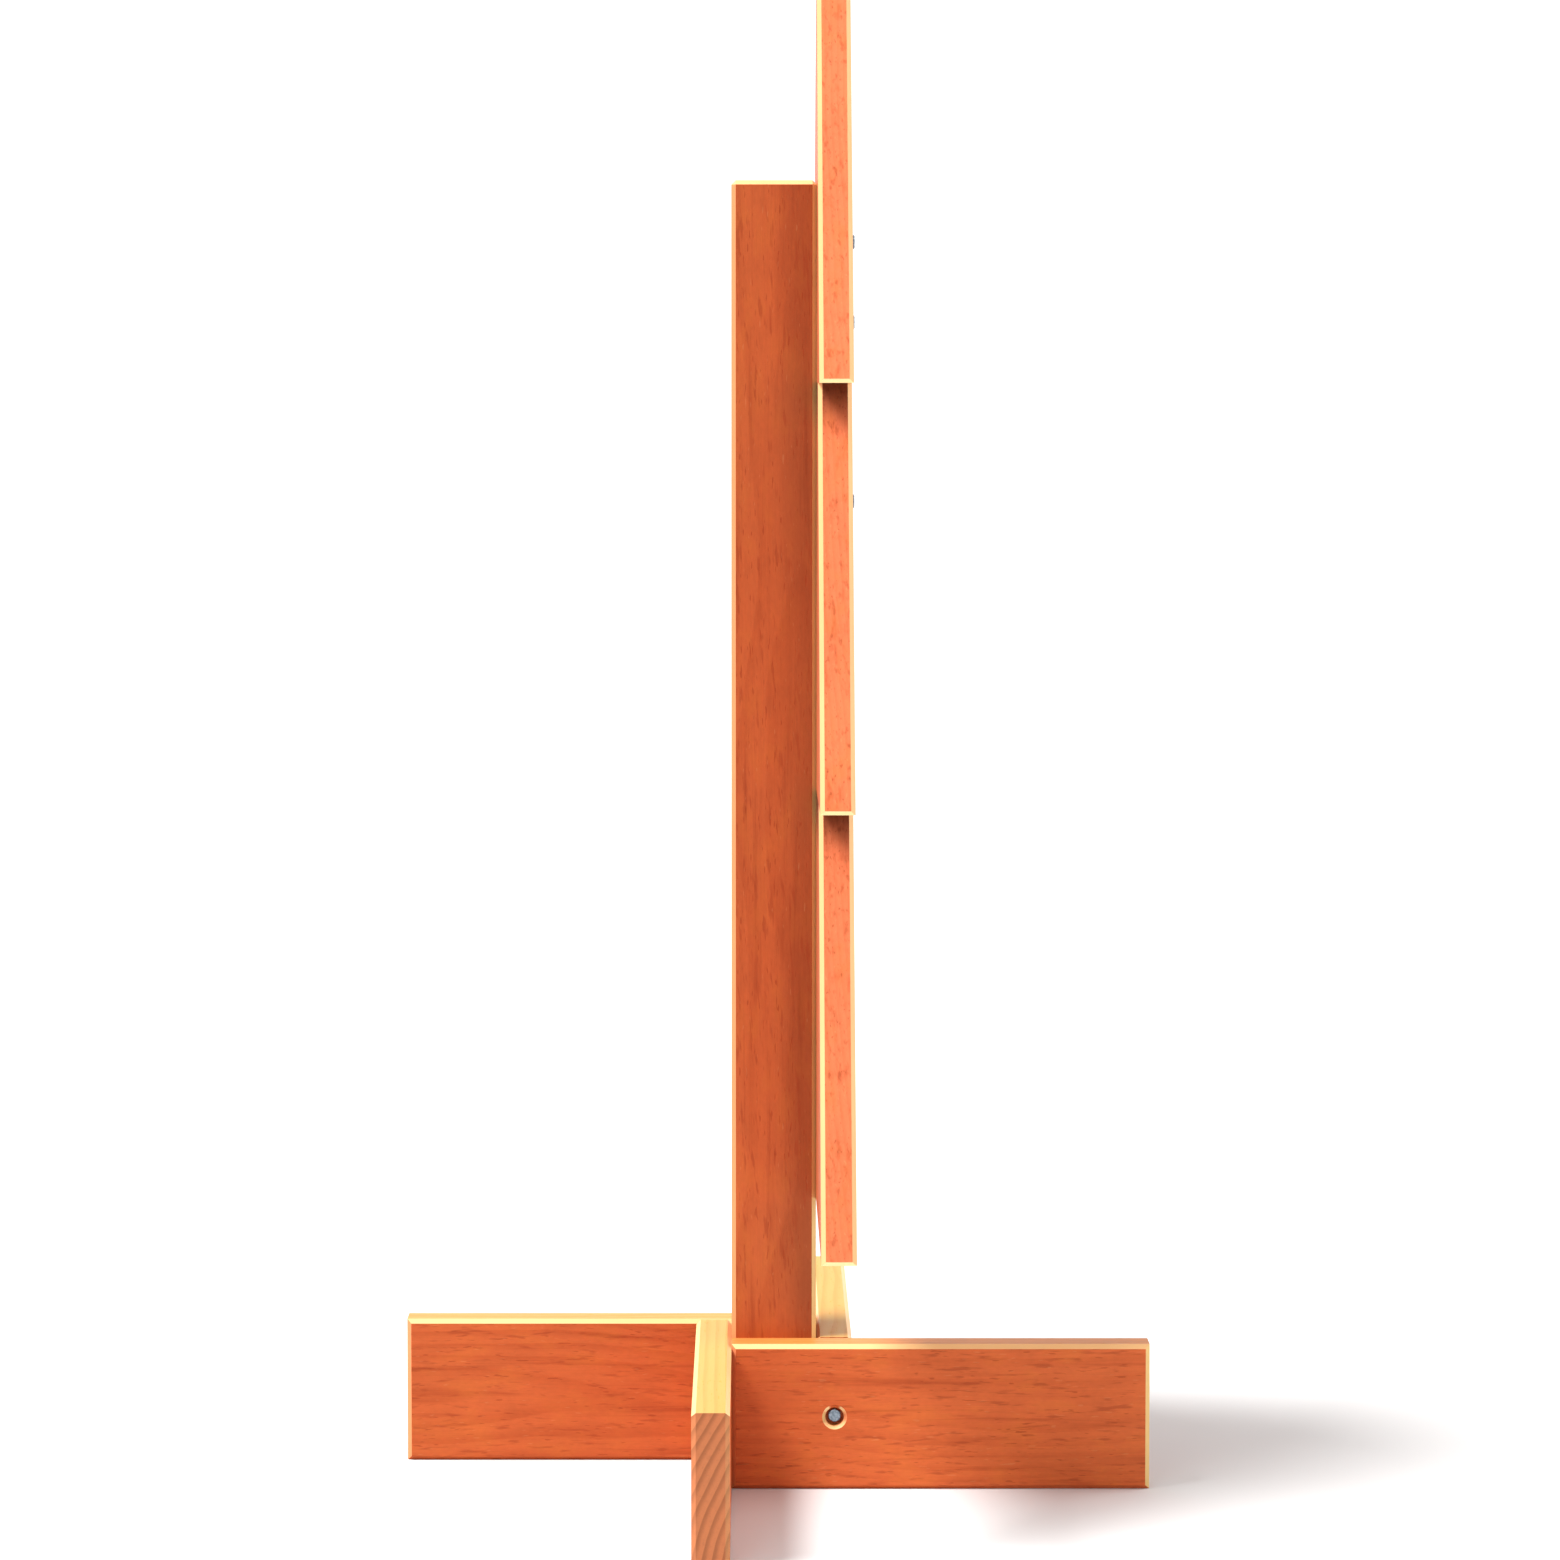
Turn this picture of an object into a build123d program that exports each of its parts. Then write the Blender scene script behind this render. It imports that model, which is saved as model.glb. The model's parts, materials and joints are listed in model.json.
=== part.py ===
"""Free-standing fir-tree panel: three stacked tiers on a square post with a pinwheel base.

Millimetres, +Z up. The origin is on the floor under the middle of the post. The panel is on
the post's +X face and spreads along Y. Each of the four base arms butts against the next
one's inside face, so they turn round the post like a pinwheel, and one lag screw holds each
corner. Every piece is its own solid in its own file.
"""
import math
import os
from dataclasses import dataclass

from build123d import *

# Base and post
POST_SIDE = 88.9
POST_ABOVE_TOP_LIP = 210.0
ARM_THICKNESS = 38.1
ARM_HEIGHT = 153.0
ARM_LENGTH = 438.0
ARM_NAMES = ("right", "back", "left", "front")

# Panel
PANEL_THICKNESS = 35.0
PANEL_ABOVE_FLOOR = 300.0

# Eased arrises: how far each cut reaches along the faces it joins
EDGE_EASE = 4.5

# Lag screws, all of one size
LAG_SHANK_D = 7.94
LAG_LENGTH = 101.6
LAG_POINT = 9.0
LAG_HEAD_FLATS = 12.7
LAG_HEAD_HEIGHT = 5.3
LAG_HEAD_CROWN = 0.9
LAG_HOLE_FIT = 0.1
LAG_HOLE_BEYOND = 4.0

# Counterbore at each corner of the base
COUNTERBORE_D = 19.0
COUNTERBORE_DEPTH = 12.0
COUNTERBORE_RIM = 3.5


@dataclass(frozen=True)
class Tier:
    """One tier of the fir tree: a symmetric panel that tapers upwards."""

    name: str
    height: float
    bottom_width: float
    top_width: float
    lag_inset: float
    """How far each of the tier's two lag screws is from the end of the stretch on the post."""


TIERS = (
    Tier("lower_tier", 432.0, 814.0, 428.0, 125.0),
    Tier("middle_tier", 426.0, 640.0, 256.0, 125.0),
    Tier("top_tier", 460.0, 456.0, 16.0, 63.0),
)

# Worked out from the above. The post ends part way up the top tier, whatever stands below it.
POST_LENGTH = PANEL_ABOVE_FLOOR + sum(tier.height for tier in TIERS[:-1]) + POST_ABOVE_TOP_LIP
POST_HALF = POST_SIDE / 2
PANEL_FACE_X = POST_HALF
PANEL_OUTSIDE_X = POST_HALF + PANEL_THICKNESS
LAG_HOLE_R = LAG_SHANK_D / 2 + LAG_HOLE_FIT
CORNER_SCREW_X = POST_HALF + ARM_THICKNESS / 2
ARM_MIDDLE_Y = -POST_HALF - ARM_THICKNESS / 2
ARM_FACE_Y = -POST_HALF - ARM_THICKNESS
CORNER_SCREW_Z = ARM_HEIGHT / 2
HEAD_SEAT_Y = ARM_FACE_Y + COUNTERBORE_DEPTH
LAG_TIP_PAST_ARM = LAG_LENGTH - (-POST_HALF - HEAD_SEAT_Y)
LAG_TIP_PAST_PANEL = LAG_LENGTH - PANEL_THICKNESS


def tier_bottoms():
    """Height of each tier's bottom edge: the tiers stand on each other."""
    bottoms = []
    z = PANEL_ABOVE_FLOOR
    for tier in TIERS:
        bottoms.append(z)
        z += tier.height
    return bottoms


def panel_lag_heights(tier, bottom):
    """Heights of a tier's two lag screws, set in from the ends of its stretch on the post."""
    top = min(bottom + tier.height, POST_LENGTH)
    return (bottom + tier.lag_inset, top - tier.lag_inset)


def rod(radius, length, start, turn):
    """A cylinder from start along the local +Z of the turn."""
    upright = Cylinder(radius, length, align=(Align.CENTER, Align.CENTER, Align.MIN))
    return Pos(*start) * turn * upright


ALONG_X = Rot(0, 90, 0)
AGAINST_X = Rot(0, -90, 0)
ALONG_Y = Rot(-90, 0, 0)
AGAINST_Y = Rot(90, 0, 0)


def lag_screw():
    """A hex lag screw: the underside of its head is at Z 0, the head up and the point down."""
    corner_radius = LAG_HEAD_FLATS / 2 / math.cos(math.pi / 6)
    head = extrude(RegularPolygon(corner_radius, 6), LAG_HEAD_HEIGHT)
    crown = Cylinder(corner_radius, LAG_HEAD_HEIGHT, align=(Align.CENTER, Align.CENTER, Align.MIN))
    crown = chamfer(crown.edges().group_by(Axis.Z)[-1], LAG_HEAD_CROWN)
    shank_length = LAG_LENGTH - LAG_POINT
    shank = rod(LAG_SHANK_D / 2, shank_length, (0, 0, -shank_length), Rot(0, 0, 0))
    tip_radius = LAG_SHANK_D / 12
    point = Cone(tip_radius, LAG_SHANK_D / 2, LAG_POINT, align=(Align.CENTER, Align.CENTER, Align.MIN))
    return (head & crown) + shank + Pos(0, 0, -LAG_LENGTH) * point


def post():
    """The square post, eased on every edge, with a pilot hole for each panel lag screw."""
    body = Box(POST_SIDE, POST_SIDE, POST_LENGTH, align=(Align.CENTER, Align.CENTER, Align.MIN))
    body = chamfer(body.edges(), EDGE_EASE)
    depth = LAG_TIP_PAST_PANEL + LAG_HOLE_BEYOND
    for tier, bottom in zip(TIERS, tier_bottoms()):
        for z in panel_lag_heights(tier, bottom):
            body -= rod(LAG_HOLE_R, depth, (PANEL_FACE_X, 0, z), AGAINST_X)
    return body


def counterbore():
    """The cutter for the right arm's counterbore, its eased rim and the hole behind it."""
    start = (CORNER_SCREW_X, ARM_FACE_Y, CORNER_SCREW_Z)
    bore = rod(COUNTERBORE_D / 2, COUNTERBORE_DEPTH, start, ALONG_Y)
    rim = Cone(
        COUNTERBORE_D / 2 + COUNTERBORE_RIM,
        COUNTERBORE_D / 2,
        COUNTERBORE_RIM,
        align=(Align.CENTER, Align.CENTER, Align.MIN),
    )
    rim = Pos(*start) * ALONG_Y * rim
    hole = rod(LAG_HOLE_R, ARM_THICKNESS, start, ALONG_Y)
    return bore + rim + hole


def right_arm():
    """The right arm, eased round both broad faces. The other three are this one turned."""
    body = Box(ARM_LENGTH, ARM_THICKNESS, ARM_HEIGHT, align=(Align.MIN, Align.MIN, Align.MIN))
    face_edges = body.edges().filter_by(Axis.Y, reverse=True)
    body = chamfer(face_edges, EDGE_EASE)
    body = Pos(-POST_HALF, ARM_FACE_Y, 0) * body
    body -= counterbore()
    pilot_depth = LAG_TIP_PAST_ARM + LAG_HOLE_BEYOND
    body -= rod(LAG_HOLE_R, pilot_depth, (-POST_HALF, ARM_MIDDLE_Y, CORNER_SCREW_Z), ALONG_X)
    return body


def corner_screw():
    """The lag screw through the right arm into the back arm's butt end."""
    return Pos(CORNER_SCREW_X, HEAD_SEAT_Y, CORNER_SCREW_Z) * AGAINST_Y * lag_screw()


def tier_panel(tier, bottom):
    """A tier: a slab on the post's face, with a hole for each of its lag screws.

    Its sloping edges and its two lower corners are eased. The edges where it stands on the
    tier below, or another tier stands on it, are left square.
    """
    outline = Polygon(
        (-tier.bottom_width / 2, bottom),
        (tier.bottom_width / 2, bottom),
        (tier.top_width / 2, bottom + tier.height),
        (-tier.top_width / 2, bottom + tier.height),
        align=None,
    )
    slab = extrude(Plane.YZ.offset(PANEL_FACE_X) * outline, PANEL_THICKNESS)
    corners = slab.edges().filter_by(Axis.X)
    sloping = slab.edges().filter_by(Axis.X, reverse=True).filter_by(Axis.Y, reverse=True)
    slab = chamfer(sloping + corners.group_by(Axis.Z)[0], EDGE_EASE)
    for z in panel_lag_heights(tier, bottom):
        slab -= rod(LAG_HOLE_R, PANEL_THICKNESS, (PANEL_FACE_X, 0, z), ALONG_X)
    return slab


def panel_lag(z):
    """A lag screw through the panel into the post, its head on the outside face."""
    return Pos(PANEL_OUTSIDE_X, 0, z) * ALONG_X * lag_screw()


def write(shape, node):
    """Writes one node to its own file."""
    export_step(shape, f"parts/{node}.step")


def main():
    """Builds every piece and writes it."""
    os.makedirs("parts", exist_ok=True)
    write(post(), "post")
    for quarter, name in enumerate(ARM_NAMES):
        turn = Rot(0, 0, 90 * quarter)
        write(turn * right_arm(), f"arm_{name}")
        write(turn * corner_screw(), f"arm_{name}_lag_screw")
    for tier, bottom in zip(TIERS, tier_bottoms()):
        write(tier_panel(tier, bottom), tier.name)
        for position, z in zip(("lower", "upper"), panel_lag_heights(tier, bottom)):
            write(panel_lag(z), f"{tier.name}_{position}_lag_screw")


main()
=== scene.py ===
"""The looks of a free-standing fir-tree panel on a timber post with a pinwheel base.

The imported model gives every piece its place. The timber pieces keep their own meshes and get
a solid wood pattern each, cut from a log of its own, so that faces, edges and end grain agree.
The lag screws are made again with a rolled thread and a chamfered head.
"""
import json
import logging
import math
from dataclasses import dataclass, field
from enum import Enum
from typing import Any

import bpy
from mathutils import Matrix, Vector

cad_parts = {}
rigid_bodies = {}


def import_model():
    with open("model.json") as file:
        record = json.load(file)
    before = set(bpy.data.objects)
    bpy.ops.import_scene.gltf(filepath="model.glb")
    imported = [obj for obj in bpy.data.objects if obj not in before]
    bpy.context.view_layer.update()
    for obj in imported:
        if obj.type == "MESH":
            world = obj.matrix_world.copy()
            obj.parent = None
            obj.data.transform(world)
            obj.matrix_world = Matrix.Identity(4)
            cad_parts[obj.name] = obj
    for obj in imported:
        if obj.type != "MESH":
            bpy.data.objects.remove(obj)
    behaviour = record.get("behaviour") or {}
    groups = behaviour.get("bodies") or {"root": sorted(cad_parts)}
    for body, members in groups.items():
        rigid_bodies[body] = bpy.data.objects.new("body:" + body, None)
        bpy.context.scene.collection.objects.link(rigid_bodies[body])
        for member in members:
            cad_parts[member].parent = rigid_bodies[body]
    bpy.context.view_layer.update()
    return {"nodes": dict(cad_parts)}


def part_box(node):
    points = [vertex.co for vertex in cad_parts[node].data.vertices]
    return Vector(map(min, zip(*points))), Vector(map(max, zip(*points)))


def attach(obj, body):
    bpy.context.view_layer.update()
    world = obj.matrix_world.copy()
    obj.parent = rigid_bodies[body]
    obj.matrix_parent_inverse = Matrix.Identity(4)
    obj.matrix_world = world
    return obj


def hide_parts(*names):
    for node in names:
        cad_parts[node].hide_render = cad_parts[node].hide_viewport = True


LOG = logging.getLogger("fir_tree_panel")
ROOT_BODY = "root"

Colour = tuple[float, float, float]
Triple = tuple[float, float, float]


class Grain(Enum):
    """The way a piece's grain runs."""

    ALONG_X = "x"
    ALONG_Y = "y"
    ALONG_Z = "z"


class Channel:
    """A node's output that can be used in Python arithmetic."""

    def __init__(self, tree: "NodeTree", socket: bpy.types.NodeSocket) -> None:
        """Wraps an output socket of a tree."""
        self.tree = tree
        self.socket = socket

    def _math(self, operation: str, *values: Any) -> "Channel":
        """Adds a Math node with this operation on the values."""
        return self.tree.node("ShaderNodeMath", {"operation": operation}, dict(enumerate(values)))

    def __add__(self, other: Any) -> "Channel":
        """This plus other."""
        return self._math("ADD", self, other)

    def __radd__(self, other: Any) -> "Channel":
        """Other plus this."""
        return self._math("ADD", other, self)

    def __sub__(self, other: Any) -> "Channel":
        """This minus other."""
        return self._math("SUBTRACT", self, other)

    def __rsub__(self, other: Any) -> "Channel":
        """Other minus this."""
        return self._math("SUBTRACT", other, self)

    def __mul__(self, other: Any) -> "Channel":
        """This times other."""
        return self._math("MULTIPLY", self, other)

    def __rmul__(self, other: Any) -> "Channel":
        """Other times this."""
        return self._math("MULTIPLY", other, self)

    def __truediv__(self, other: Any) -> "Channel":
        """This over other."""
        return self._math("DIVIDE", self, other)

    def __pow__(self, other: Any) -> "Channel":
        """This to the power of other."""
        return self._math("POWER", self, other)

    def __mod__(self, other: Any) -> "Channel":
        """What is left of this after whole others, from 0 up."""
        return self._math("FLOORED_MODULO", self, other)

    def size(self) -> "Channel":
        """The value without its sign."""
        return self._math("ABSOLUTE", self)

    def fraction(self) -> "Channel":
        """The part after the decimal point."""
        return self._math("FRACT", self)

    def root(self) -> "Channel":
        """The square root."""
        return self._math("SQRT", self)

    def cosine(self) -> "Channel":
        """The cosine of an angle in radians."""
        return self._math("COSINE", self)

    def angle_over(self, other: Any) -> "Channel":
        """The angle of a point that is this far up and other far along."""
        return self._math("ARCTAN2", self, other)

    def larger(self, other: Any) -> "Channel":
        """The larger of this and other."""
        return self._math("MAXIMUM", self, other)

    def smaller(self, other: Any) -> "Channel":
        """The smaller of this and other."""
        return self._math("MINIMUM", self, other)

    def is_above(self, other: Any) -> "Channel":
        """1 where this is more than other, and 0 elsewhere."""
        return self._math("GREATER_THAN", self, other)

    def step(self, low: float, high: float) -> "Channel":
        """0 below low and 1 above high, with a smooth rise between them."""
        inputs = {"Value": self, "From Min": low, "From Max": high}
        return self.tree.node("ShaderNodeMapRange", {"interpolation_type": "SMOOTHSTEP"}, inputs)


class NodeTree:
    """A node tree that is built from Python expressions."""

    def __init__(self, tree: bpy.types.NodeTree) -> None:
        """Wraps one of the scene's node trees."""
        self.nodes = tree.nodes
        self.links = tree.links

    def node(self, kind: str, settings: dict[str, Any], inputs: dict[Any, Any], output: Any = 0) -> Channel:
        """Adds a node.

        Args:
            kind: The node's type.
            settings: Its settings, which are set first.
            inputs: A value, a channel or a list of channels for each input, by name or number.
            output: The name or number of the output wanted.

        Returns:
            That output as a channel.
        """
        made = self.nodes.new(kind)
        for name, value in settings.items():
            setattr(made, name, value)
        for key, value in inputs.items():
            if isinstance(value, (Channel, list)):
                for channel in value if isinstance(value, list) else [value]:
                    self.links.new(channel.socket, made.inputs[key])
            else:
                made.inputs[key].default_value = value
        return Channel(self, made.outputs[output])

    def split(self, vector: Channel) -> tuple[Channel, Channel, Channel]:
        """A vector's three parts."""
        first = self.node("ShaderNodeSeparateXYZ", {}, {0: vector})
        return tuple(Channel(self, part) for part in first.socket.node.outputs)

    def join(self, x: Any, y: Any, z: Any) -> Channel:
        """A vector from three parts."""
        return self.node("ShaderNodeCombineXYZ", {}, {0: x, 1: y, 2: z})


class ShaderTree(NodeTree):
    """A material's node tree."""

    def __init__(self, name: str) -> None:
        """Makes an empty material, with its shader and output.

        Args:
            name: The material's name.
        """
        self.material = bpy.data.materials.new(name)
        self.material.use_nodes = True
        super().__init__(self.material.node_tree)
        self.nodes.clear()
        self.shader = self.nodes.new("ShaderNodeBsdfPrincipled")
        output = self.nodes.new("ShaderNodeOutputMaterial")
        self.links.new(self.shader.outputs["BSDF"], output.inputs["Surface"])

    def noise(self, place: Channel, detail: float = 3.0, roughness: float = 0.55) -> Channel:
        """Smooth noise from 0 to 1 at a place that is already scaled."""
        inputs = {"Vector": place, "Scale": 1.0, "Detail": detail, "Roughness": roughness}
        return self.node("ShaderNodeTexNoise", {"noise_dimensions": "3D"}, inputs, "Fac")

    def blend(self, amount: Channel, below: Any, above: Any) -> Channel:
        """Mixes two colours.

        Args:
            amount: How much of the second colour there is, from 0 to 1.
            below: The colour at 0, plain or a channel.
            above: The colour at 1, plain or a channel.

        Returns:
            The mixed colour.
        """
        pair = [colour if isinstance(colour, Channel) else (*colour, 1.0) for colour in (below, above)]
        settings = {"data_type": "RGBA", "blend_type": "MIX"}
        return self.node("ShaderNodeMix", settings, {0: amount, 6: pair[0], 7: pair[1]}, 2)

    def tint(self, colour: Channel, amount: Channel) -> Channel:
        """A colour times an amount that varies over the surface."""
        factor = self.join(amount, amount, amount)
        return self.node("ShaderNodeVectorMath", {"operation": "MULTIPLY"}, {0: colour, 1: factor})

    def set(self, **inputs: Any) -> None:
        """Sets the shader's sockets.

        Args:
            **inputs: A value or a channel for each, with underscores for spaces in its name.
        """
        for name, value in inputs.items():
            socket = self.shader.inputs[name.replace("_", " ")]
            if isinstance(value, Channel):
                self.links.new(value.socket, socket)
            else:
                socket.default_value = value


@dataclass(frozen=True)
class Weave:
    """How fine a pattern is: its repeats in a metre over and along the grain, and its detail."""

    over: float
    along: float
    detail: float = 3.0


@dataclass(frozen=True)
class Band:
    """The values at which something begins and is full, and how strong it then is."""

    begins: float
    full: float
    strength: float = 1.0

    def of(self, value: Channel) -> Channel:
        """The strength above the band and 0 below it, with a smooth rise between them."""
        rise = value.step(self.begins, self.full)
        return rise if self.strength == 1.0 else rise * self.strength


@dataclass(frozen=True)
class Mottle:
    """The wood's lightness: an even part, and how much of each fine pattern is added to it."""

    even: float = 0.56
    patch: float = 0.26
    blotch: float = 0.30
    fibre: float = 0.18
    speck: float = 0.16


@dataclass(frozen=True)
class ClearCoat:
    """The thin clear finish on the wood, and how much the grain shows through it."""

    roughness: float = 0.34
    fibre_roughness: float = 0.12
    late_roughness: float = 0.05
    butt_roughness: float = 0.20
    pore_roughness: float = 0.15
    fibre_height: float = 0.5
    late_height: float = 0.35
    pore_height: float = 0.8
    bump_strength: float = 0.22
    bump_depth: float = 0.0005
    specular: float = 0.15
    sheen: float = 0.08
    sheen_roughness: float = 0.22


# The patterns in the wood
SWAY = Weave(5.0, 1.7, 2.0)
DRIFT = Weave(22.0, 4.5, 2.0)
PATCH = Weave(14.0, 5.0)
BLOTCH = Weave(42.0, 20.0)
STREAK = Weave(120.0, 4.0)
DASH = Weave(190.0, 27.0, 2.0)
SPECK = Weave(300.0, 150.0, 2.0)
FLECK = Weave(360.0, 70.0, 1.0)
PORE = Weave(420.0, 62.0, 1.0)
FIBRE = Weave(900.0, 16.0)

# How far the slow patterns push the rings and the fibres aside, and how far a dash leans
RING_DRIFT = 0.0030
FIBRE_SWAY = 0.020
FIBRE_DRIFT = 0.006
DASH_SLANT = 0.06

# Where each pattern shows in the colour
RING_DARKENS = Band(0.30, 0.88)
RING_ENDS = Band(0.90, 1.0)
PORES = Band(0.67, 0.74)
FLECKS = Band(0.68, 0.76)
LATE_STREAKS = Band(0.44, 0.70, 0.28)
DEEP_STREAKS = Band(0.56, 0.78, 0.45)
AMBER_BLOTCHES = Band(0.46, 0.70, 0.28)
DEEP_DASHES = Band(0.57, 0.72, 0.46)
PORE_DEPTH = 0.50
FLECK_LIGHT = 0.07

# Which way a face has to point, as a part of its normal, to be of each kind; several of these choose where
# painted light and painted highlights go
BUTT_END = Band(0.60, 0.70)
BROAD_FACE = Band(0.88, 0.97)
TOP_FACE = Band(0.55, 0.95)
SQUARE_FACE = Band(0.862, 0.892)
LEVEL_ARRIS = Band(0.10, 0.45)
FAR_ARRIS = Band(0.30, 0.60)
UNDER_ARRIS = Band(0.30, 0.45)
NOT_UPRIGHT = Band(0.05, 0.20)
ABOVE_FLOOR = Band(0.33, 0.42)

# End grain: its colour's strength, and how dark it is evenly and in its late rings
BUTT_COLOUR = 0.66
BUTT_DARK = 0.02
BUTT_RINGS = 0.28

# The post's darker side: its width, how much it wanders, and where it lies across the post
SIDE_WIDTH = 0.089
SIDE_WANDER = 0.6
SIDE_BAND = Band(0.42, 0.90)

# The strip under each tier's lip where shade is painted: how far below the tier's top it reaches, and the
# gap left there
PAINTED_SHADE_DEPTH = 0.062
PAINTED_SHADE_GAP = 0.004

BORE_EDGE = Band(0.0096, 0.0101)


class WoodPattern:
    """The patterns of a log at each point of a piece, as channels."""

    def __init__(self, tree: ShaderTree, parts: tuple[Channel, ...], timber: "Timber") -> None:
        """Builds the patterns.

        Args:
            tree: The material's tree.
            parts: The place across the grain, over it and along it.
            timber: The wood.
        """
        self.tree = tree
        self.across, self.over, self.along = parts
        self.sway = self._noise(SWAY) - 0.5
        drift = self._noise(DRIFT) - 0.5
        from_side, from_back = self.across - timber.log_centre[0], self.over - timber.log_centre[1]
        reach = (from_side * from_side + from_back * from_back).root()
        rings = ((reach + self.sway * timber.figure + drift * RING_DRIFT) / timber.ring).fraction()
        self.late = RING_DARKENS.of(rings) * (1.0 - RING_ENDS.of(rings))

        wave = self.sway * FIBRE_SWAY + drift * FIBRE_DRIFT
        self.fibre = self._noise(FIBRE, wave, wave)
        self.streak = self._noise(STREAK, wave, wave)
        self.patch = self._noise(PATCH)
        self.blotch = self._noise(BLOTCH)
        self.pore = PORES.of(self._noise(PORE))
        self.fleck = FLECKS.of(self._noise(FLECK))
        self.dash = self._noise(DASH, self.along * DASH_SLANT, wave)
        self.speck = self._noise(SPECK)

    def _noise(self, weave: Weave, aside: Channel | None = None, back: Channel | None = None) -> Channel:
        """Noise of one weave.

        Args:
            weave: How fine it is.
            aside: How far the place is pushed across the grain.
            back: How far the place is pushed over the grain.

        Returns:
            The noise, from 0 to 1.
        """
        across = self.across if aside is None else self.across + aside
        over = self.over if back is None else self.over + back
        place = self.tree.join(across * weave.over, over * weave.over, self.along * weave.along)
        return self.tree.noise(place, weave.detail)


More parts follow.
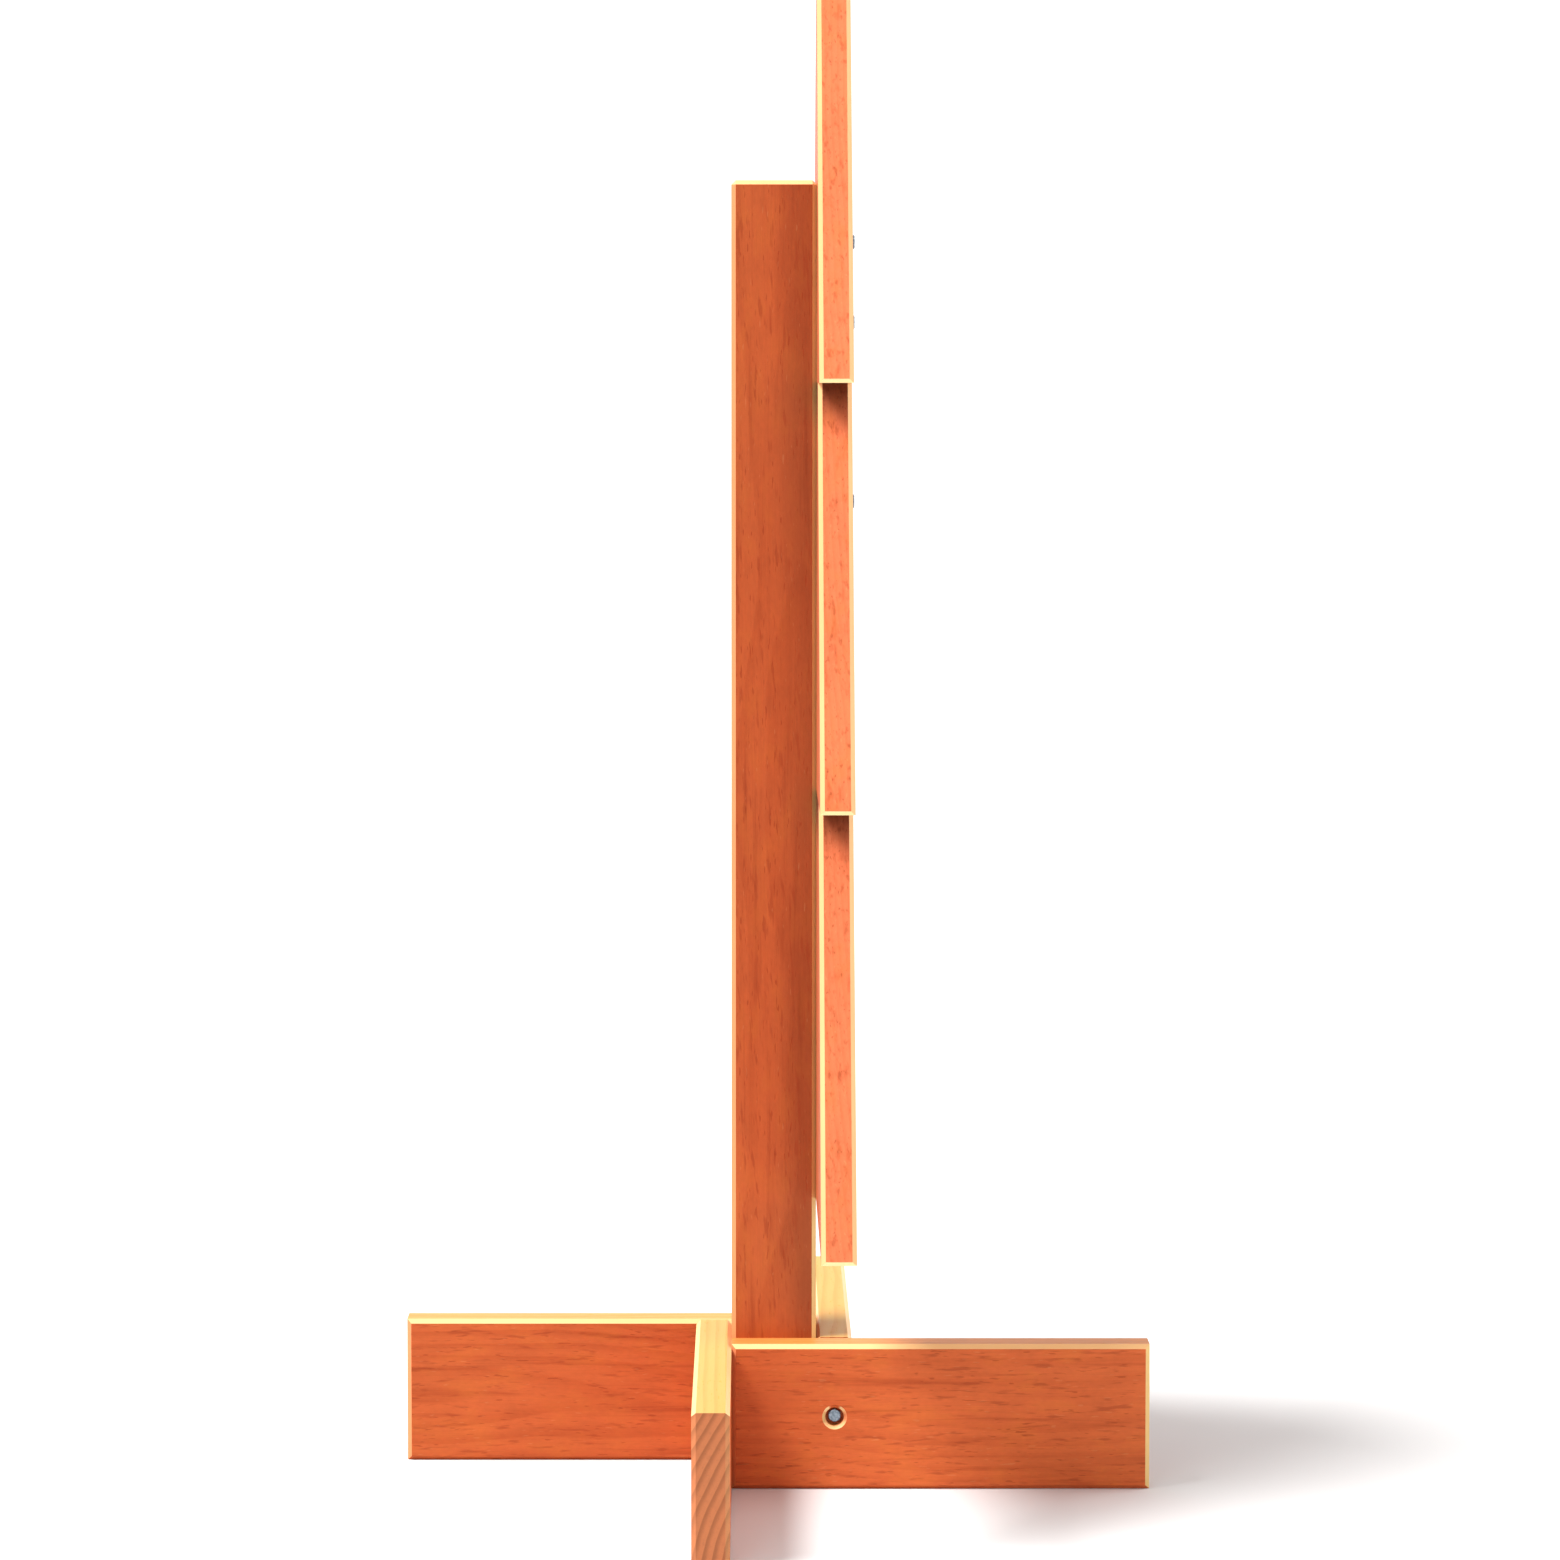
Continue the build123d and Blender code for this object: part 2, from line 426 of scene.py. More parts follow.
@dataclass(frozen=True)
class Timber:
    """A reddish softwood with a clear finish, as a solid pattern cut from one log."""

    name: str
    grain: Grain
    log_centre: tuple[float, float]
    shift: Triple = (0.0, 0.0, 0.0)
    early: Colour = (0.560, 0.115, 0.030)
    late: Colour = (0.450, 0.080, 0.019)
    deep: Colour = (0.30, 0.041, 0.009)
    amber: Colour = (0.50, 0.132, 0.022)
    # Painted highlight on the eased edges, one colour for each way an edge faces: level, upright, upright
    # and facing +X, and facing down at a tier's lower corners. arris is also the tone of the pale flecks.
    arris: Colour = (0.98, 0.60, 0.27)
    upright_edge_highlight: Colour = (0.82, 0.30, 0.125)
    far_edge_highlight: Colour = (0.78, 0.53, 0.21)
    lip: Colour = (1.0, 0.80, 0.40)
    # Painted light on the tops: upward faces are made paler, as the light from above is strongest there.
    painted_top_light: Colour = (0.60, 0.360, 0.075)
    end_grain: Colour = (0.50, 0.200, 0.088)
    shade: float = 1.0
    ring: float = 0.0062
    figure: float = 0.020
    contrast: float = 0.45
    pale_ends: float = 1.0
    dark_side: float = 0.0
    broad_shade: float = 1.0
    # How much painted light the tops get.
    top_light_strength: float = 0.0
    # The tier's top height, below which shade is painted under the lip of the tier above, if there is one.
    painted_shade_from: float | None = None
    bores: tuple[tuple[Triple, str], ...] = ()
    mottle: Mottle = Mottle()
    coat: ClearCoat = ClearCoat()

    def material(self) -> bpy.types.Material:
        """Builds the wood.

        Returns:
            The material, on the piece's own coordinates.
        """
        tree = ShaderTree(self.name)
        place = tree.split(tree.node("ShaderNodeTexCoord", {}, {}, "Object"))
        facing = tree.split(tree.node("ShaderNodeTexCoord", {}, {}, "Normal"))
        parts = tuple(part + move for part, move in zip(self._by_grain(place), self.shift))
        pattern = WoodPattern(tree, parts, self)
        butt = BUTT_END.of(self._by_grain(facing)[2].size())

        colour = self._figured(tree, pattern)
        colour = tree.blend(butt * BUTT_COLOUR, colour, self.end_grain)
        colour = tree.tint(colour, 1.0 - butt * (BUTT_DARK + pattern.late * BUTT_RINGS))
        colour = self._tone_and_painted_light(tree, pattern, place, facing, colour)
        # Painted highlight on the eased edges, uneven along them.
        edge_highlight = self._edges_to_highlight(place, facing) * (0.72 + pattern.patch * 0.36)
        colour = tree.blend(edge_highlight, colour, self._edge_highlight_colour(tree, facing))
        tree.set(Base_Color=colour)
        self._coat(tree, pattern, butt)
        return tree.material

    def _by_grain(self, parts: tuple[Channel, Channel, Channel]) -> tuple[Channel, Channel, Channel]:
        """Puts a vector's parts in order of the grain.

        Args:
            parts: The vector's X, Y and Z.

        Returns:
            The parts across the grain, over it and along it.
        """
        x, y, z = parts
        if self.grain is Grain.ALONG_X:
            return y, z, x
        if self.grain is Grain.ALONG_Y:
            return x, z, y
        return x, y, z

    def _figured(self, tree: ShaderTree, pattern: WoodPattern) -> Channel:
        """Colours the wood by its rings, streaks, pores and mottle.

        Args:
            tree: The material's tree.
            pattern: The wood's patterns.

        Returns:
            The colour of a plain face.
        """
        dark_rings = pattern.late * self.contrast + LATE_STREAKS.of(pattern.streak)
        colour = tree.blend(dark_rings, self.early, self.late)
        colour = tree.blend(DEEP_STREAKS.of(pattern.streak), colour, self.deep)
        colour = tree.blend(AMBER_BLOTCHES.of(pattern.blotch), colour, self.amber)
        mottle = self.mottle
        light = mottle.even + pattern.patch * mottle.patch + pattern.blotch * mottle.blotch
        light = (light + pattern.fibre * mottle.fibre + pattern.speck * mottle.speck) * self.shade
        if self.dark_side:
            side = pattern.across / SIDE_WIDTH + 0.5 + pattern.sway * SIDE_WANDER
            light = light * (1.0 - SIDE_BAND.of(side) * self.dark_side)
        colour = tree.tint(colour, light)
        colour = tree.blend(DEEP_DASHES.of(pattern.dash), colour, self.deep)
        colour = tree.blend(pattern.pore * PORE_DEPTH, colour, self.deep)
        return tree.blend(pattern.fleck * FLECK_LIGHT, colour, self.arris)

    def _tone_and_painted_light(
        self,
        tree: ShaderTree,
        pattern: WoodPattern,
        place: tuple[Channel, ...],
        facing: tuple[Channel, ...],
        colour: Channel,
    ) -> Channel:
        """Darkens broad faces, paints light on the tops and paints shade under each lip, where the piece
        has them.

        Args:
            tree: The material's tree.
            pattern: The wood's patterns.
            place: The point's X, Y and Z.
            facing: The normal's X, Y and Z.
            colour: The colour so far.

        Returns:
            The changed colour.
        """
        if self.broad_shade != 1.0:
            loss = BROAD_FACE.of(facing[0].size()) * (1.0 - self.broad_shade)
            colour = tree.tint(colour, 1.0 - loss * (1.16 - pattern.late * 0.45))
        # Painted light on the upward faces, uneven over them.
        if self.top_light_strength:
            uneven = 0.86 + pattern.patch * 0.30 - pattern.late * 0.16
            top_light = TOP_FACE.of(facing[2]) * uneven * self.top_light_strength
            colour = tree.blend(top_light, colour, self.painted_top_light)
        # Painted shade on the strip just under the lip of the tier above.
        if self.painted_shade_from is not None:
            strip = Band(self.painted_shade_from - PAINTED_SHADE_DEPTH, self.painted_shade_from - PAINTED_SHADE_GAP)
            colour = tree.tint(colour, 1.0 - strip.of(place[2]) * (0.70 + pattern.patch * 0.16))
        return colour

    def _edge_highlight_colour(self, tree: ShaderTree, facing: tuple[Channel, ...]) -> Channel:
        """Chooses the painted highlight of an eased arris by the way it faces.

        Args:
            tree: The material's tree.
            facing: The normal's X, Y and Z.

        Returns:
            The colour.
        """
        level = LEVEL_ARRIS.of(facing[2].size())
        pale = tree.blend(level, self.upright_edge_highlight, self.arris)
        pale = tree.blend(FAR_ARRIS.of(facing[0]) * (1.0 - level), pale, self.far_edge_highlight)
        return tree.blend(UNDER_ARRIS.of(0.0 - facing[2]), pale, self.lip)

    def _edges_to_highlight(self, place: tuple[Channel, ...], facing: tuple[Channel, ...]) -> Channel:
        """Finds the eased arrises that get the painted highlight.

        A board's own faces point squarely one way, and a tier's sloping edges nearly so. Each
        arris lies between two of them. A tier's lower corners face down a little and still get the painted
        highlight.

        Args:
            place: The point's X, Y and Z.
            facing: The normal's X, Y and Z.

        Returns:
            1 on the arrises, less on a board's ends, and 0 where they face the floor and stay in shade.
        """
        nx, ny, nz = (part.size() for part in facing)
        mask = 1.0 - SQUARE_FACE.of(nx.larger(ny).larger(nz))
        mask = mask * ABOVE_FLOOR.of(facing[2] + 1.0)
        mask = mask * (1.0 - (1.0 - NOT_UPRIGHT.of(nz)) * (1.0 - self.pale_ends))
        for centre, axis in self.bores:
            from_x, from_y, from_z = (part - middle for part, middle in zip(place, centre))
            sides = {"x": (from_y, from_z), "y": (from_x, from_z)}[axis]
            reach = (sides[0] * sides[0] + sides[1] * sides[1]).root()
            mask = mask * BORE_EDGE.of(reach)
        return mask

    def _coat(self, tree: ShaderTree, pattern: WoodPattern, butt: Channel) -> None:
        """Gives the wood its roughness, its fine relief and its thin sheen.

        Args:
            tree: The material's tree.
            pattern: The wood's patterns.
            butt: 1 on the butt ends.
        """
        coat = self.coat
        height = pattern.fibre * coat.fibre_height + pattern.late * coat.late_height
        height = height - pattern.pore * coat.pore_height
        relief = {"Strength": coat.bump_strength, "Distance": coat.bump_depth, "Height": height}
        roughness = coat.roughness + pattern.fibre * coat.fibre_roughness
        roughness = roughness + pattern.late * coat.late_roughness
        roughness = roughness + butt * coat.butt_roughness + pattern.pore * coat.pore_roughness
        glance = tree.node("ShaderNodeLayerWeight", {}, {"Blend": 0.5}, "Facing")
        sheen = glance * glance * glance * glance * coat.sheen
        tree.set(Roughness=roughness, Normal=tree.node("ShaderNodeBump", {}, relief, "Normal"))
        tree.set(Specular_IOR_Level=coat.specular, Coat_Weight=sheen, Coat_Roughness=coat.sheen_roughness)


@dataclass(frozen=True)
class DullZinc:
    """Blue-grey plating on a forged screw."""

    name: str = "dull_zinc"
    light: Colour = (0.30, 0.37, 0.43)
    dark: Colour = (0.13, 0.17, 0.21)
    mottle_pitch: float = 420.0
    pit_pitch: float = 2100.0
    mottling: Band = Band(0.32, 0.68)
    roughness: float = 0.30
    mottle_roughness: float = 0.20
    bump_strength: float = 0.25
    bump_depth: float = 0.0001

    def material(self) -> bpy.types.Material:
        """Builds the plating.

        Returns:
            The material, mottled and lightly pitted.
        """
        tree = ShaderTree(self.name)
        place = tree.split(tree.node("ShaderNodeTexCoord", {}, {}, "Object"))
        mottle = tree.noise(tree.join(*(part * self.mottle_pitch for part in place)), 3.0)
        pits = tree.noise(tree.join(*(part * self.pit_pitch for part in place)), 2.0)
        colour = tree.blend(self.mottling.of(mottle), self.dark, self.light)
        relief = {"Strength": self.bump_strength, "Distance": self.bump_depth, "Height": pits}
        roughness = self.roughness + mottle * self.mottle_roughness
        tree.set(Base_Color=colour, Metallic=1.0, Roughness=roughness)
        tree.set(Normal=tree.node("ShaderNodeBump", {}, relief, "Normal"))
        return tree.material


@dataclass(frozen=True)
class PaleFloor:
    """A plain pale studio floor."""

    name: str = "pale_floor"
    tone: Colour = (0.72, 0.72, 0.715)
    roughness: float = 0.9
    specular: float = 0.1

    def material(self) -> bpy.types.Material:
        """Builds the floor's finish.

        Returns:
            The material.
        """
        tree = ShaderTree(self.name)
        tree.set(Base_Color=(*self.tone, 1.0), Roughness=self.roughness, Specular_IOR_Level=self.specular)
        return tree.material


def wear(node: bpy.types.Object, material: bpy.types.Material) -> None:
    """Puts one material on every slot of a piece.

    Args:
        node: The piece.
        material: What it is made of.
    """
    if not node.material_slots:
        node.data.materials.append(material)
    for place in node.material_slots:
        place.material = material


@dataclass(frozen=True)
class Arm:
    """One arm of the base: its grain, the way its counterbore runs, and its wood."""

    name: str
    grain: Grain
    bore_axis: str
    log_centre: tuple[float, float]
    contrast: float
    shade: float
    # How much painted light the arm's top gets.
    top_light: float
    figure: float = 0.050
    pale_ends: float = 1.0


@dataclass
class PinwheelBase:
    """Four arms that turn round the post, each with a counterbore for its corner screw."""

    nodes: dict[str, bpy.types.Object]
    arms: tuple[Arm, ...] = (
        Arm("right", Grain.ALONG_X, "y", (-0.145, 0.100), contrast=0.30, shade=1.18, top_light=0.42),
        Arm("back", Grain.ALONG_Y, "x", (0.150, 0.090), contrast=0.40, shade=1.00, top_light=0.85),
        Arm("left", Grain.ALONG_X, "y", (0.130, 0.062), contrast=0.50, shade=1.04, top_light=0.80),
        Arm(
            "front",
            Grain.ALONG_Y,
            "x",
            (0.340, -0.100),
            contrast=0.85,
            shade=1.12,
            top_light=0.95,
            figure=0.012,
            pale_ends=0.15,
        ),
    )
    ring: float = 0.0095
    log_step: float = 1.7

    def dress(self) -> None:
        """Gives each arm wood from its own log, with the grain along it."""
        for number, arm in enumerate(self.arms):
            node = f"arm_{arm.name}"
            low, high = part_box(f"{node}_lag_screw")
            centre = tuple((low[n] + high[n]) / 2 for n in range(3))
            timber = Timber(
                name=f"{node}_timber",
                grain=arm.grain,
                log_centre=arm.log_centre,
                shift=(0.0, 0.0, self.log_step * number),
                ring=self.ring,
                figure=arm.figure,
                contrast=arm.contrast,
                shade=arm.shade,
                top_light_strength=arm.top_light,
                pale_ends=arm.pale_ends,
                bores=((centre, arm.bore_axis),),
            )
            wear(self.nodes[node], timber.material())
            LOG.info("%s: grain along %s", node, arm.grain.value)


@dataclass
class Post:
    """The square post."""

    nodes: dict[str, bpy.types.Object]
    log_centre: tuple[float, float] = (0.020, 0.105)
    log_shift: float = 8.3
    shade: float = 0.92
    ring: float = 0.0085
    figure: float = 0.045
    contrast: float = 0.35
    dark_side: float = 0.30

    def dress(self) -> None:
        """Gives the post upright grain."""
        timber = Timber(
            name="post_timber",
            grain=Grain.ALONG_Z,
            log_centre=self.log_centre,
            shift=(0.0, 0.0, self.log_shift),
            shade=self.shade,
            ring=self.ring,
            figure=self.figure,
            contrast=self.contrast,
            dark_side=self.dark_side,
        )
        wear(self.nodes["post"], timber.material())
        LOG.info("post: grain along z")


@dataclass(frozen=True)
class Tier:
    """One tier of the fir tree: its wood, and whether shade is painted on it under the lip of the tier
    above.
    """

    name: str
    log_centre: tuple[float, float]
    shade: float
    painted_lip_shade: bool


@dataclass
class FirTreePanel:
    """The three tiers, each of its own wood."""

    nodes: dict[str, bpy.types.Object]
    tiers: tuple[Tier, ...] = (
        Tier("lower_tier", (1.50, 0.00), shade=0.98, painted_lip_shade=True),
        Tier("middle_tier", (1.42, 0.00), shade=1.04, painted_lip_shade=True),
        Tier("top_tier", (1.46, 0.00), shade=1.12, painted_lip_shade=False),
    )
    early: Colour = (0.72, 0.172, 0.068)
    late: Colour = (0.60, 0.118, 0.040)
    broad_shade: float = 0.70
    ring: float = 0.0065
    figure: float = 0.030
    contrast: float = 0.30
    log_shift: float = 12.0
    log_step: float = 2.9

    def dress(self) -> None:
        """Gives each tier upright grain and its own shade."""
        for number, tier in enumerate(self.tiers):
            name = tier.name
            _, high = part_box(name)
            timber = Timber(
                name=f"{name}_timber",
                grain=Grain.ALONG_Z,
                log_centre=tier.log_centre,
                shift=(0.0, 0.0, self.log_shift + self.log_step * number),
                early=self.early,
                late=self.late,
                painted_shade_from=high[2] if tier.painted_lip_shade else None,
                broad_shade=self.broad_shade,
                shade=tier.shade,
                ring=self.ring,
                figure=self.figure,
                contrast=self.contrast,
            )
            wear(self.nodes[name], timber.material())
            LOG.info("%s: shade %.2f", name, tier.shade)


class ScrewSize(Enum):
    """The sizes of a lag screw that its tree takes, by their names there."""

    ACROSS_FLATS = "Across Flats"
    HEAD_HEIGHT = "Head Height"
    SHANK_RADIUS = "Shank Radius"
    THREAD_DEPTH = "Thread Depth"
    LENGTH = "Length"
    PLAIN_LENGTH = "Plain Length"
    POINT_LENGTH = "Point Length"
    PITCH = "Pitch"


class ScrewTree(NodeTree):
    """The Geometry Nodes tree that sets a lag screw on each point of a mesh."""

    HEAD_MESH = {"Vertices": 72, "Side Segments": 6, "Fill Segments": 10, "Radius": 1.0, "Depth": 1.0}
    SHANK_MESH = {"Vertices": 24, "Side Segments": 190, "Fill Segments": 1, "Radius": 1.0, "Depth": 1.0}
    CROWN_BEGINS = 0.93
    """How far out the head's top begins to fall away, as a share of half its flats."""
    CROWN_SLOPE = math.tan(math.pi / 6)
    THREAD_CREST = 1.6
    """How sharp the thread's crest is: 1 is a plain V."""
    POINT_TIP = 0.16
    """The point's width at its tip, as a share of the shank's."""

    def __init__(self, finish: bpy.types.Material) -> None:
        """Builds the tree.

        Args:
            finish: What the screws are made of.
        """
        self.group = bpy.data.node_groups.new("lag_screws", "GeometryNodeTree")
        super().__init__(self.group)
        self.ids: dict[ScrewSize, str] = {}
        face = self.group.interface
        face.new_socket("Geometry", in_out="INPUT", socket_type="NodeSocketGeometry")
        for size in ScrewSize:
            socket = face.new_socket(size.value, in_out="INPUT", socket_type="NodeSocketFloat")
            self.ids[size] = socket.identifier
        face.new_socket("Geometry", in_out="OUTPUT", socket_type="NodeSocketGeometry")
        self.entry = self.nodes.new("NodeGroupInput")
        points = Channel(self, self.entry.outputs[0])
        screw = self.node("GeometryNodeJoinGeometry", {}, {0: [self._head(), self._shank()]})
        turn = self.node("GeometryNodeInputNamedAttribute", {"data_type": "FLOAT_VECTOR"}, {"Name": "turn"})
        rotation = self.node("FunctionNodeEulerToRotation", {}, {0: turn})
        spread = {"Points": points, "Instance": screw, "Rotation": rotation}
        placed = self.node("GeometryNodeInstanceOnPoints", {}, spread)
        real = self.node("GeometryNodeRealizeInstances", {}, {0: placed})
        dressed = self.node("GeometryNodeSetMaterial", {}, {"Geometry": real, "Material": finish})
        leave = self.nodes.new("NodeGroupOutput")
        self.links.new(dressed.socket, leave.inputs[0])

    def _size(self, size: ScrewSize) -> Channel:
        """One of the tree's named sizes."""
        return Channel(self, self.entry.outputs[size.value])

    def _polar(self) -> tuple[Channel, Channel, Channel, Channel, Channel]:
        """A vertex's X, Y, Z, reach from the axis, and angle round it."""
        x, y, z = self.split(self.node("GeometryNodeInputPosition", {}, {}))
        return x, y, z, (x**2.0 + y**2.0).root(), y.angle_over(x)

    def _moved(self, mesh: Channel, x: Channel, y: Channel, z: Channel) -> Channel:
        """A mesh with its vertices moved to X, Y, Z."""
        spot = self.join(x, y, z)
        return self.node("GeometryNodeSetPosition", {}, {"Geometry": mesh, "Position": spot})

    def _head(self) -> Channel:
        """Shapes a hex head whose top corners are cut back by a cone, standing on Z 0.

        Returns:
            The head.
        """
        disc = self.node("GeometryNodeMeshCylinder", {"fill_type": "TRIANGLE_FAN"}, self.HEAD_MESH)
        x, y, z, reach, angle = self._polar()
        sixth = math.pi / 3
        turned = (angle + sixth / 2) % sixth - sixth / 2
        apothem = self._size(ScrewSize.ACROSS_FLATS) * 0.5
        edge = apothem / turned.cosine()
        past_crown = (reach * edge - apothem * self.CROWN_BEGINS).larger(0.0)
        ceiling = self._size(ScrewSize.HEAD_HEIGHT) - past_crown * self.CROWN_SLOPE
        return self._moved(disc, x * edge, y * edge, (z + 0.5) * ceiling)

    def _shank(self) -> Channel:
        """Shapes a shank below Z 0, plain under the head, then threaded down to its point.

        Returns:
            The shank.
        """
        rod = self.node("GeometryNodeMeshCylinder", {"fill_type": "TRIANGLE_FAN"}, self.SHANK_MESH)
        x, y, z, _, angle = self._polar()
        length = self._size(ScrewSize.LENGTH)
        depth = (0.5 - z) * length
        turns = depth / self._size(ScrewSize.PITCH) - angle / math.tau
        ridge = (turns % 1.0 * 2.0 - 1.0).size()
        threaded = depth.is_above(self._size(ScrewSize.PLAIN_LENGTH))
        groove = (1.0 - ridge**self.THREAD_CREST) * threaded * self._size(ScrewSize.THREAD_DEPTH)
        to_tip = (length - depth) / self._size(ScrewSize.POINT_LENGTH)
        narrow = (to_tip + self.POINT_TIP).smaller(1.0)
        radius = (self._size(ScrewSize.SHANK_RADIUS) - groove) * narrow
        return self._moved(rod, x * radius, y * radius, depth * -1.0)


@dataclass
class LagScrews:
    """All ten lag screws, on the places of the model's own."""

    across_flats: float = 0.0127
    head_height: float = 0.0053
    shank_radius: float = 0.00397
    thread_depth: float = 0.0009
    length: float = 0.1016
    plain_length: float = 0.034
    point_length: float = 0.009
    pitch: float = 0.0028
    heads_towards: dict[str, Triple] = field(
        default_factory=lambda: {
            "arm_right_lag_screw": (0, -1, 0),
            "arm_back_lag_screw": (1, 0, 0),
            "arm_left_lag_screw": (0, 1, 0),
            "arm_front_lag_screw": (-1, 0, 0),
            "lower_tier_lower_lag_screw": (1, 0, 0),
            "lower_tier_upper_lag_screw": (1, 0, 0),
            "middle_tier_lower_lag_screw": (1, 0, 0),
            "middle_tier_upper_lag_screw": (1, 0, 0),
            "top_tier_lower_lag_screw": (1, 0, 0),
            "top_tier_upper_lag_screw": (1, 0, 0),
        }
    )

    def build(self) -> bpy.types.Object:
        """Makes the screws as one plain mesh that stands for the model's own.

        Returns:
            The screws' object.
        """
        source = self._seats()
        tree = ScrewTree(DullZinc().material())
        modifier = source.modifiers.new("screws", "NODES")
        modifier.node_group = tree.group
        for size, value in self._sizes().items():
            modifier[tree.ids[size]] = value
        bpy.context.view_layer.update()
        evaluated = source.evaluated_get(bpy.context.evaluated_depsgraph_get())
        made = bpy.data.meshes.new_from_object(evaluated)
        bpy.data.objects.remove(source)
        made.name = "lag_screws"
        screws = bpy.data.objects.new("lag_screws", made)
        bpy.context.scene.collection.objects.link(screws)
        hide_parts(*self.heads_towards)
        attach(screws, ROOT_BODY)
        LOG.info("lag_screws: %d faces", len(made.polygons))
        return screws

    def _seats(self) -> bpy.types.Object:
        """Marks where each screw sits and how it is turned.

        Returns:
            A mesh with a point under each head and the screw's turn on it.
        """
        seats, turns = [], []
        for node, way in self.heads_towards.items():
            low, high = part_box(node)
            outward = Vector(way)
            middle = (Vector(low) + Vector(high)) / 2
            half = (self.length + self.head_height) / 2
            seats.append(tuple(middle + outward * (half - self.head_height)))
            turns.append(outward.to_track_quat("Z", "Y").to_matrix().to_4x4().to_euler())
            LOG.info("%s: head towards %s", node, way)
        mesh = bpy.data.meshes.new("lag_screw_seats")
        mesh.from_pydata(seats, [], [])
        held = mesh.attributes.new("turn", "FLOAT_VECTOR", "POINT")
        for point, turn in zip(held.data, turns):
            point.vector = tuple(turn)
        source = bpy.data.objects.new("lag_screw_seats", mesh)
        bpy.context.scene.collection.objects.link(source)
        return source

    def _sizes(self) -> dict[ScrewSize, float]:
        """Every size that the screw's tree takes."""
        return {
            ScrewSize.ACROSS_FLATS: self.across_flats,
            ScrewSize.HEAD_HEIGHT: self.head_height,
            ScrewSize.SHANK_RADIUS: self.shank_radius,
            ScrewSize.THREAD_DEPTH: self.thread_depth,
            ScrewSize.LENGTH: self.length,
            ScrewSize.PLAIN_LENGTH: self.plain_length,
            ScrewSize.POINT_LENGTH: self.point_length,
            ScrewSize.PITCH: self.pitch,
        }


@dataclass(frozen=True)
class SoftPanel:
    """A square light panel that is turned to the middle of the object."""

    name: str
    at: Triple
    watts: float
    width: float


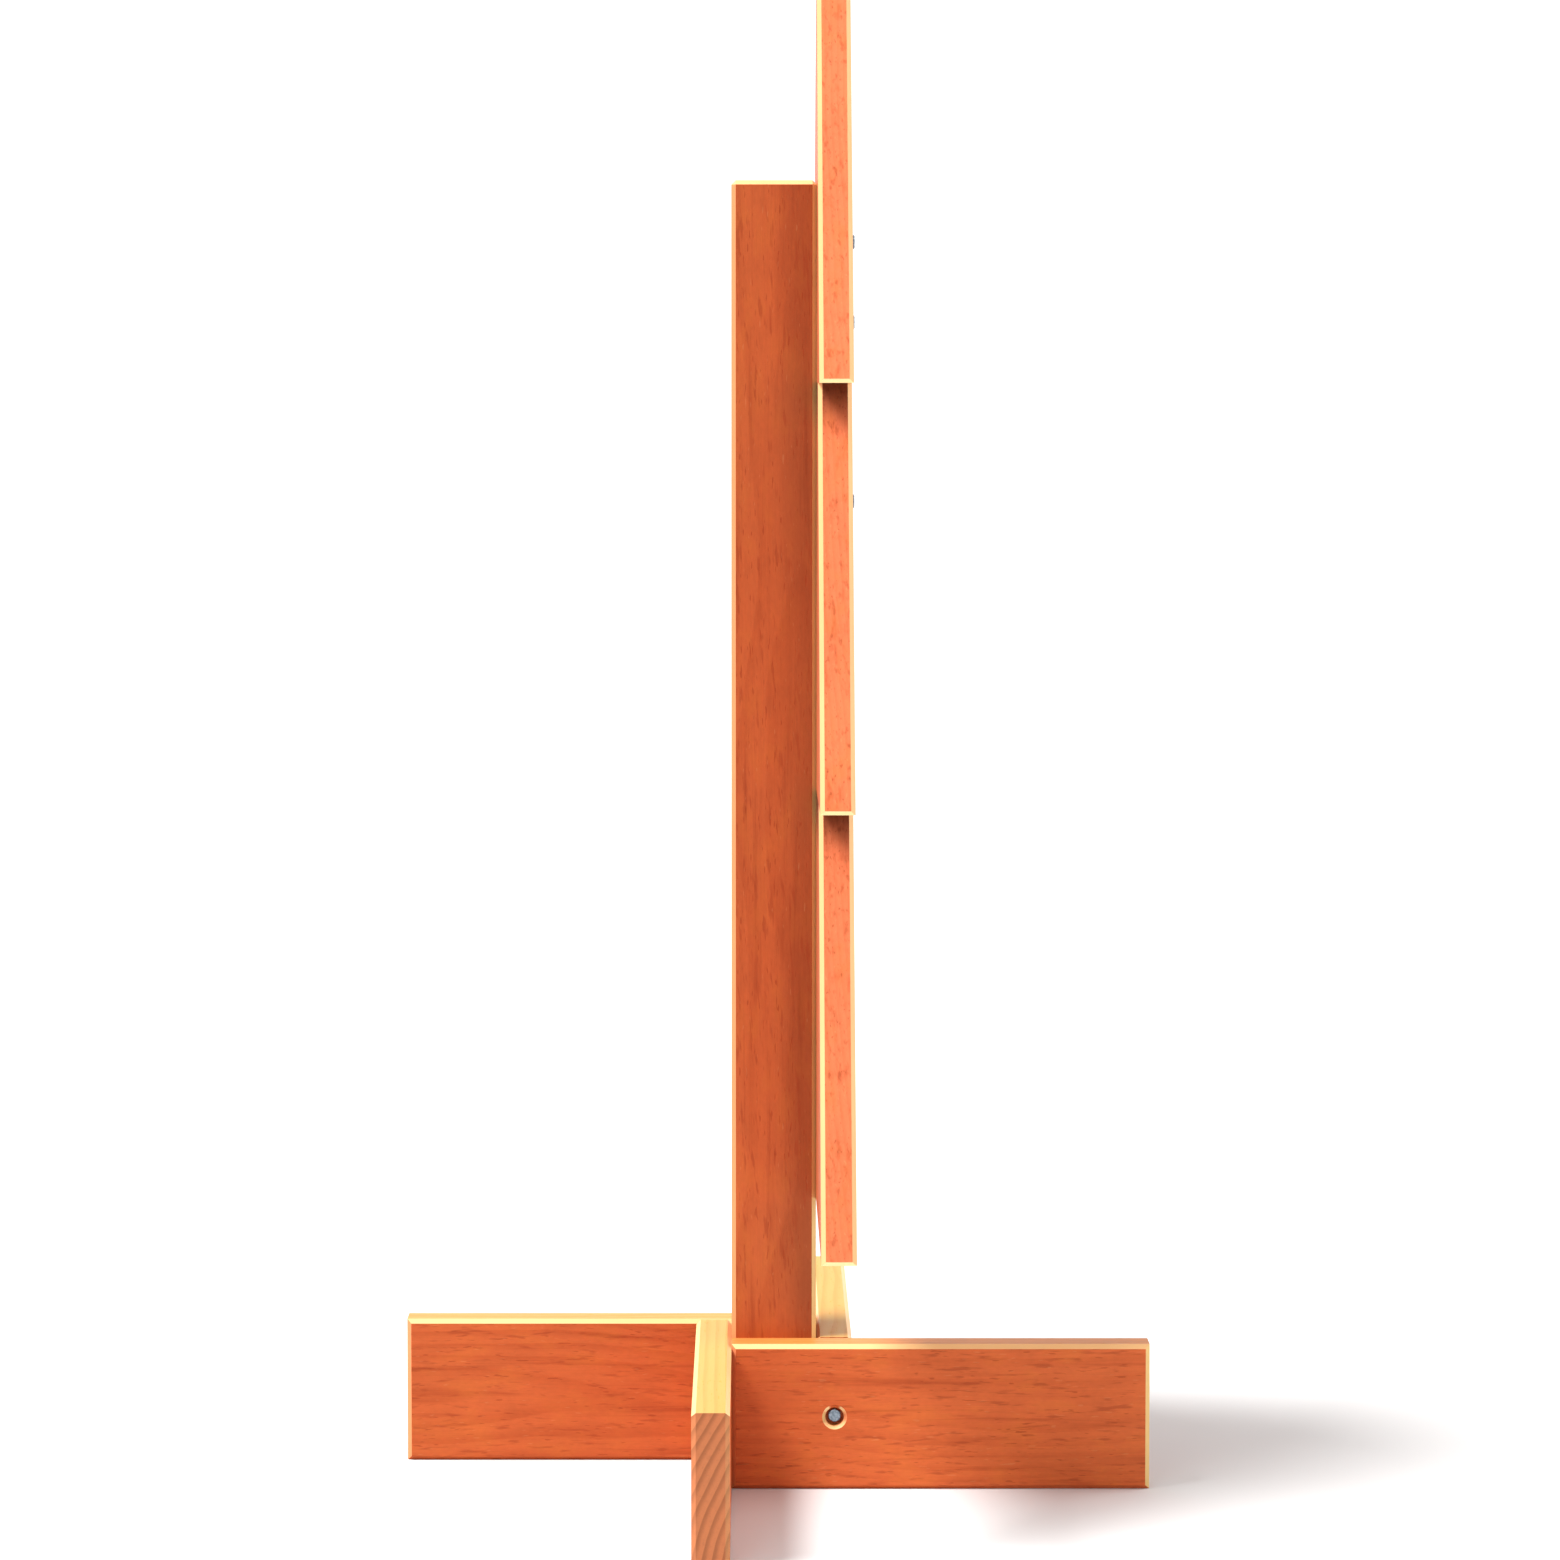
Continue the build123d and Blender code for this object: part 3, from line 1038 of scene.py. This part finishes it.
@dataclass
class Studio:
    """The floor, the lights and the camera."""

    camera_at: Triple = (-0.0226, -4.7548, 1.1669)
    tilt: float = 3.367
    lens: float = 104.21
    sensor: float = 36.0
    shift: tuple[float, float] = (0.01772, -0.090)
    sun_way: Triple = (1.0, 0.25, -1.75)
    sun_strength: float = 4.9
    sun_angle: float = 22.0
    sky: float = 0.54
    surround: float = 1.25
    floor_half: float = 14.0
    panels_look_at: Triple = (0.0, 0.0, 0.8)
    panels: tuple[SoftPanel, ...] = (
        SoftPanel("fill", (4.0, 0.8, 2.2), watts=105.0, width=3.0),
        SoftPanel("front", (-2.2, -5.2, 3.4), watts=45.0, width=2.4),
    )

    def build(self) -> None:
        """Makes the floor, the lights and the camera."""
        self._floor()
        self._sun()
        for panel in self.panels:
            self._panel(panel)
        self._sky()
        self._camera()

    def _floor(self) -> None:
        """Lays a large flat floor under the arms."""
        half = self.floor_half
        mesh = bpy.data.meshes.new("floor")
        corners = [(-half, -half, 0.0), (half, -half, 0.0), (half, half, 0.0), (-half, half, 0.0)]
        mesh.from_pydata(corners, [], [(0, 1, 2, 3)])
        mesh.materials.append(PaleFloor().material())
        floor = bpy.data.objects.new("floor", mesh)
        bpy.context.scene.collection.objects.link(floor)

    def _sun(self) -> None:
        """Hangs a high soft sun on the left."""
        sun = bpy.data.lights.new("key", "SUN")
        sun.energy = self.sun_strength
        sun.angle = math.radians(self.sun_angle)
        key = bpy.data.objects.new("key", sun)
        key.rotation_euler = Vector(self.sun_way).to_track_quat("-Z", "Y").to_euler()
        bpy.context.scene.collection.objects.link(key)

    def _panel(self, panel: SoftPanel) -> None:
        """Hangs one light panel.

        Args:
            panel: Its place, strength and width.
        """
        lamp = bpy.data.lights.new(panel.name, "AREA")
        lamp.energy = panel.watts
        lamp.shape = "SQUARE"
        lamp.size = panel.width
        light = bpy.data.objects.new(panel.name, lamp)
        light.location = panel.at
        aim = Vector(self.panels_look_at) - Vector(panel.at)
        light.rotation_euler = aim.to_track_quat("-Z", "Y").to_euler()
        bpy.context.scene.collection.objects.link(light)

    def _sky(self) -> None:
        """Surrounds the scene with white, brighter to the camera and in gloss than as a light."""
        scene = bpy.context.scene
        world = bpy.data.worlds.new("sky")
        world.use_nodes = True
        tree = NodeTree(world.node_tree)
        path = tree.nodes.new("ShaderNodeLightPath")
        seen, mirrored = (Channel(tree, path.outputs[name]) for name in ("Is Camera Ray", "Is Glossy Ray"))
        levels = {"Value": seen.larger(mirrored), "To Min": self.sky, "To Max": self.surround}
        strength = tree.node("ShaderNodeMapRange", {}, levels)
        background = tree.nodes["Background"]
        background.inputs["Color"].default_value = (1.0, 1.0, 1.0, 1.0)
        tree.links.new(strength.socket, background.inputs["Strength"])
        scene.world = world
        scene.view_settings.view_transform = "Standard"

    def _camera(self) -> None:
        """Sets up a long lens almost square to the post."""
        lens = bpy.data.cameras.new("camera")
        lens.lens = self.lens
        lens.sensor_width = self.sensor
        lens.shift_x, lens.shift_y = self.shift
        camera = bpy.data.objects.new("camera", lens)
        camera.location = self.camera_at
        camera.rotation_euler = (math.radians(90.0 - self.tilt), 0.0, 0.0)
        bpy.context.scene.collection.objects.link(camera)
        bpy.context.scene.camera = camera


def main() -> None:
    """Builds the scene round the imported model."""
    logging.basicConfig(level=logging.INFO, format="%(name)s: %(message)s")
    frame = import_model()
    nodes = frame["nodes"]
    PinwheelBase(nodes).dress()
    Post(nodes).dress()
    FirTreePanel(nodes).dress()
    LagScrews().build()
    Studio().build()


if __name__ == "__main__":
    main()
